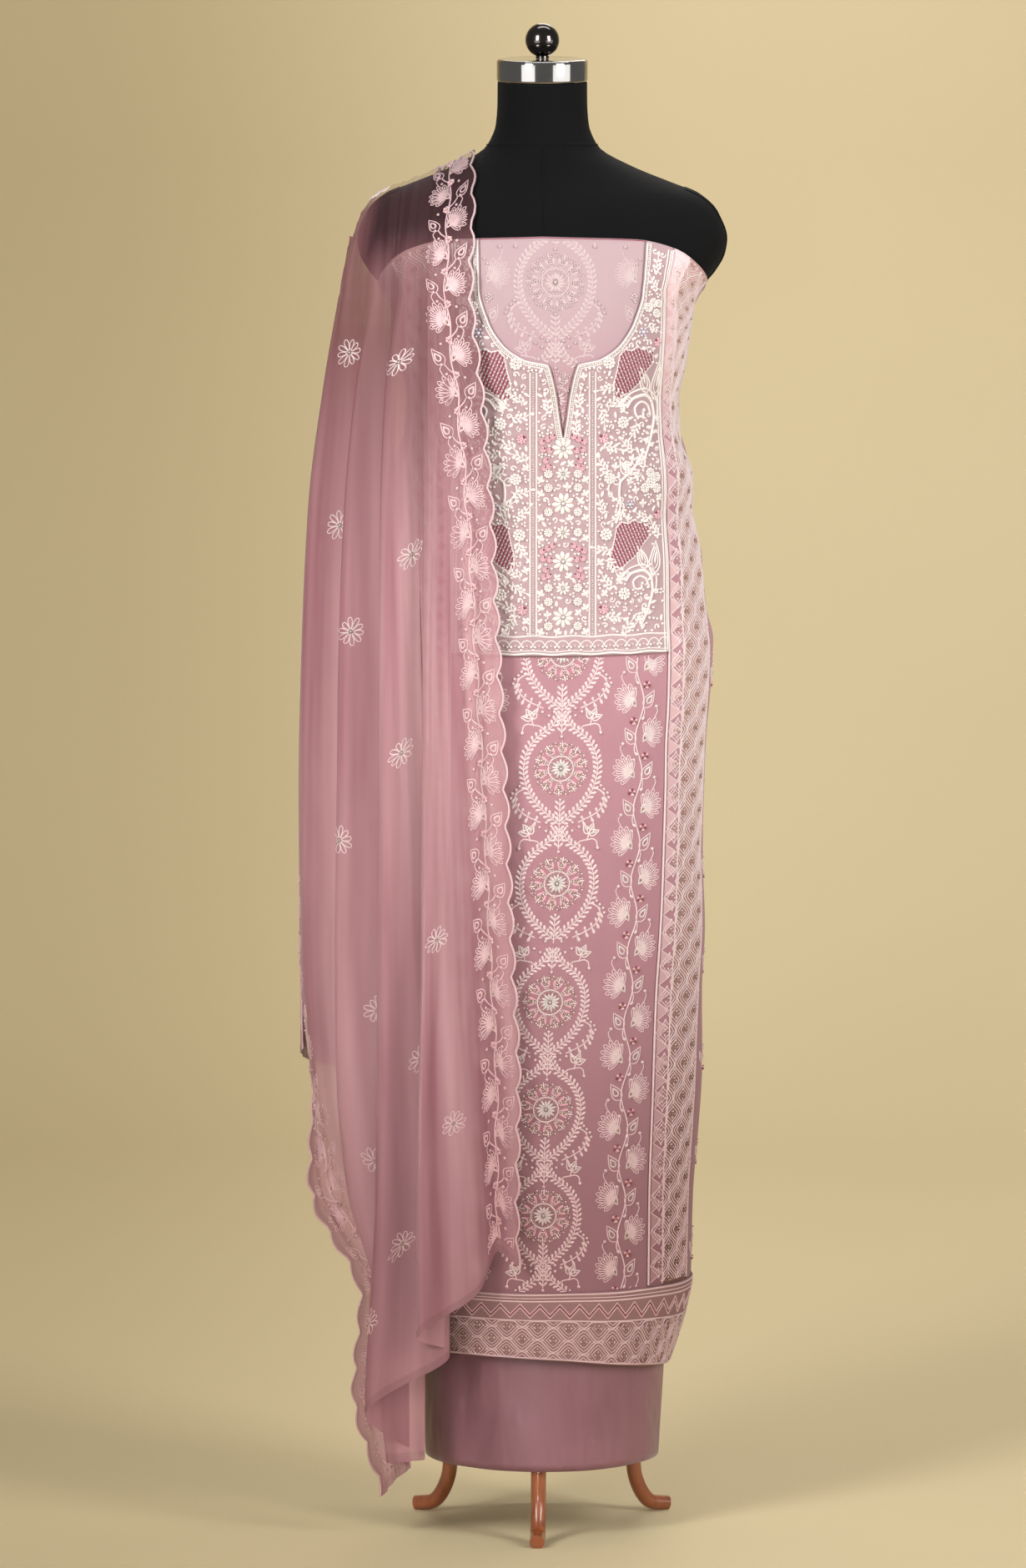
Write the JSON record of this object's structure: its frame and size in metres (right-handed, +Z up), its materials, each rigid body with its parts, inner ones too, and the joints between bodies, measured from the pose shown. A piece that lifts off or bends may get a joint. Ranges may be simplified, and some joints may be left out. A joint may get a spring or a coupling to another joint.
{
  "type": "salwar kameez suit on a dress form",
  "caption": "Unstitched salwar kameez suit draped on a limbless dress form with a tripod stand: embroidered kameez, plain silk salwar cloth and a sheer scalloped dupatta over one shoulder.",
  "frame": {"origin": "on the floor, at the middle of the whole suit and stand seen from above", "axes": "+Z up, the suit's front faces -Y, the viewer's right is +X"},
  "size_m": [0.4587, 0.338, 1.6293],
  "materials": {
    "jersey": "matt black stretch jersey",
    "chrome": "polished metal",
    "wood": "polished red-brown wood",
    "georgette": "dusty rose georgette with tone on tone thread work",
    "thread_work": "dense cream thread and bead work",
    "lattice_work": "beige-pink lattice work with gold beads",
    "silk": "plain mauve silk with a soft sheen",
    "chiffon": "sheer pink chiffon"
  },
  "bodies": {
    "root": {"form_torso": "jersey", "neck_cap": "chrome", "neck_knob": "chrome", "stand_pole": "wood", "stand_hub": "wood", "stand_leg_front": "wood", "stand_leg_left": "wood", "stand_leg_right": "wood", "kameez_front": "georgette", "kameez_back": "georgette", "front_yoke": "thread_work", "side_border_left": "lattice_work", "side_border_right": "lattice_work", "hem_band_front": "lattice_work", "salwar_cloth": "silk", "dupatta_front": "chiffon", "dupatta_shoulder": "chiffon", "dupatta_back": "chiffon"}
  },
  "joints": []
}
